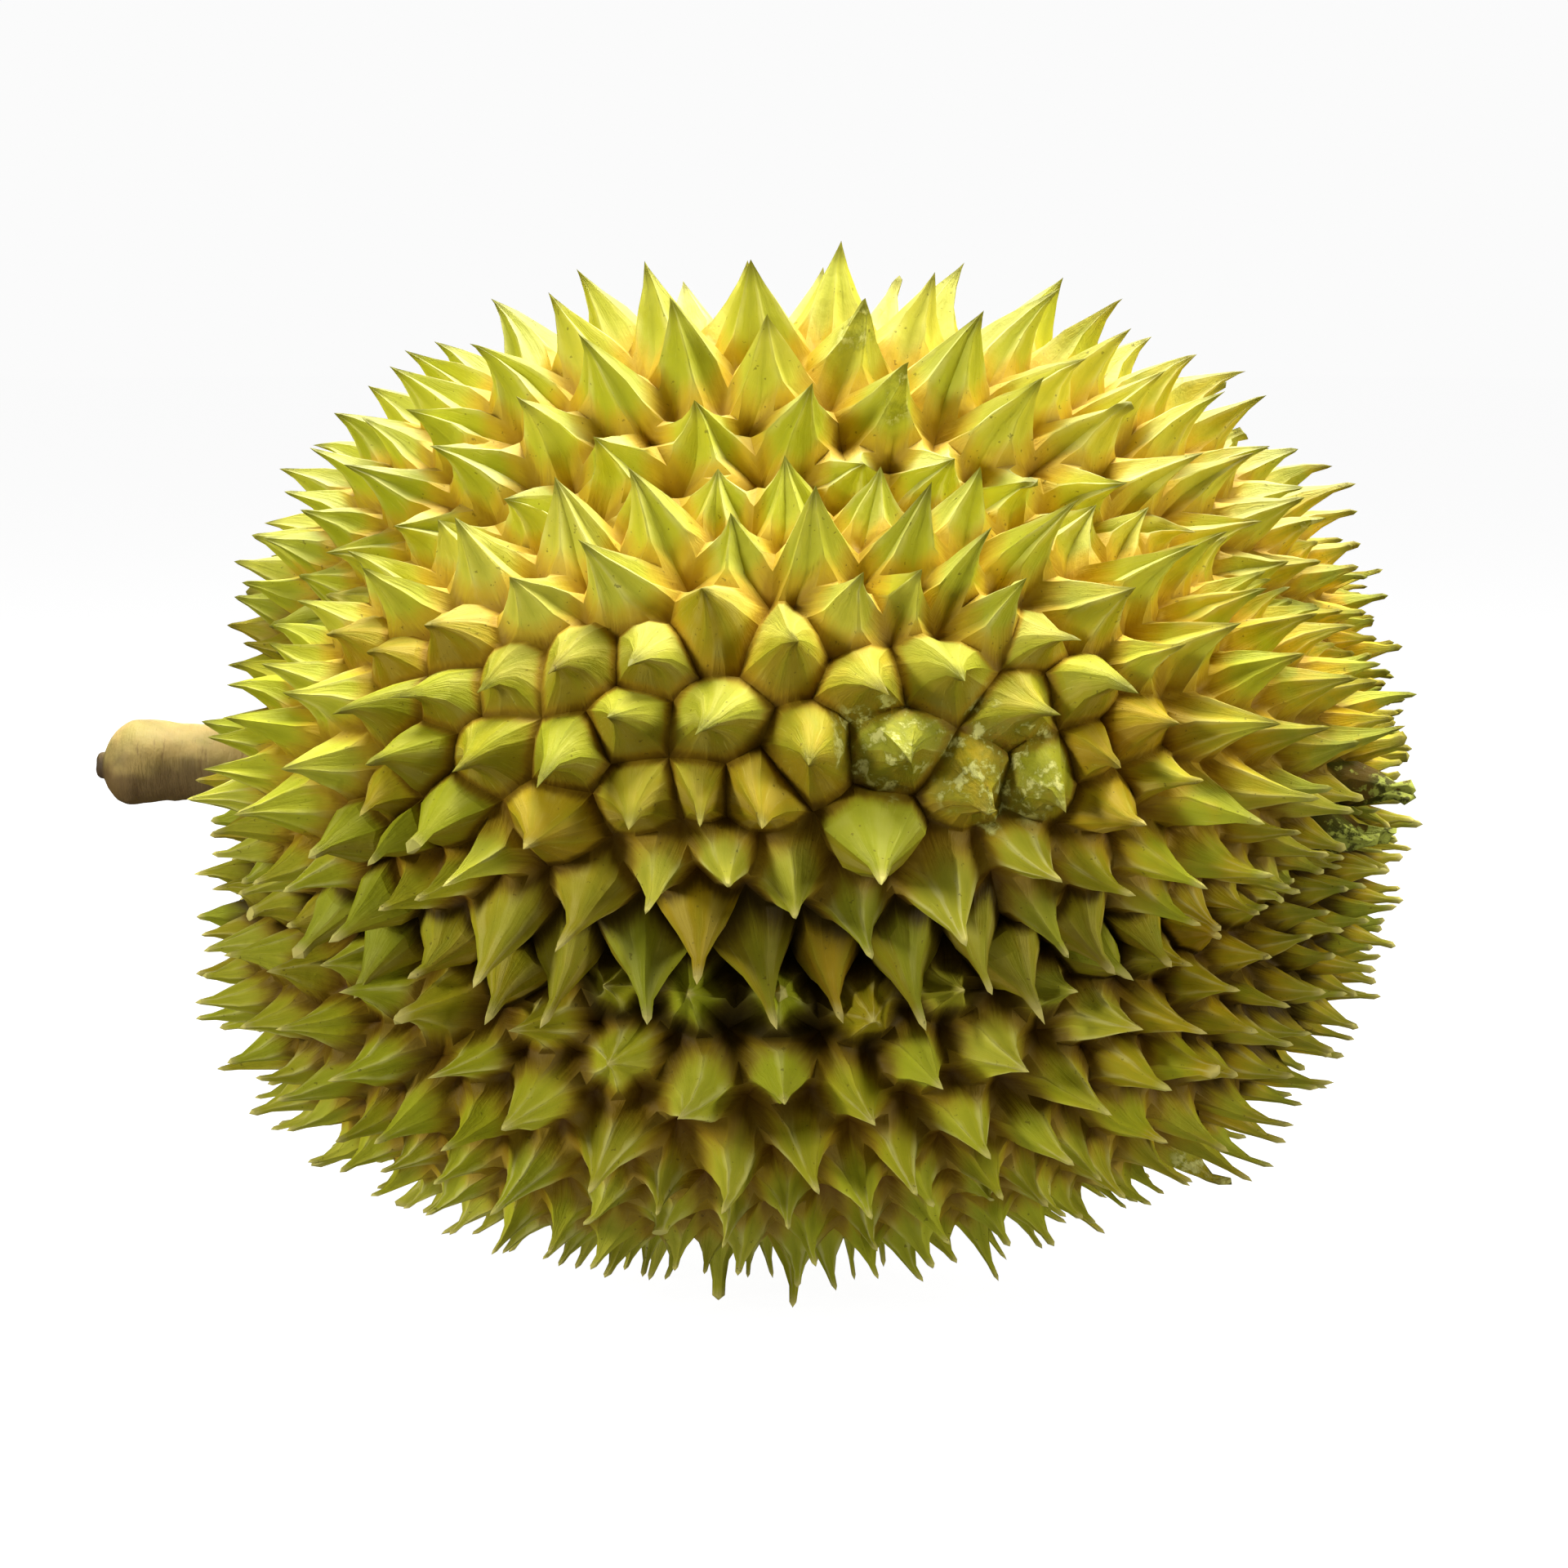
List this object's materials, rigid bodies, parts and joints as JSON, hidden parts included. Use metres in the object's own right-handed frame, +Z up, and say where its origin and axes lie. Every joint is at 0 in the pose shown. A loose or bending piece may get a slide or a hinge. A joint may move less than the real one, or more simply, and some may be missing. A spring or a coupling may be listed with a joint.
{
  "type": "durian",
  "caption": "Whole durian lying on its side, its lobed husk set all over with pyramid spines, and a stub of stalk at one end.",
  "frame": {"origin": "on the surface that the fruit lies on, under the middle of its outline seen from above", "axes": "+Z up, +X along the fruit from the stalk towards the blossom end, +Y to the far side"},
  "size_m": [0.258, 0.1968, 0.2031],
  "materials": {
    "husk": "waxy yellow-green rind",
    "stalk": "dry tan-brown stalk"
  },
  "bodies": {
    "root": {"husk": "husk", "stalk": "stalk"}
  },
  "joints": []
}
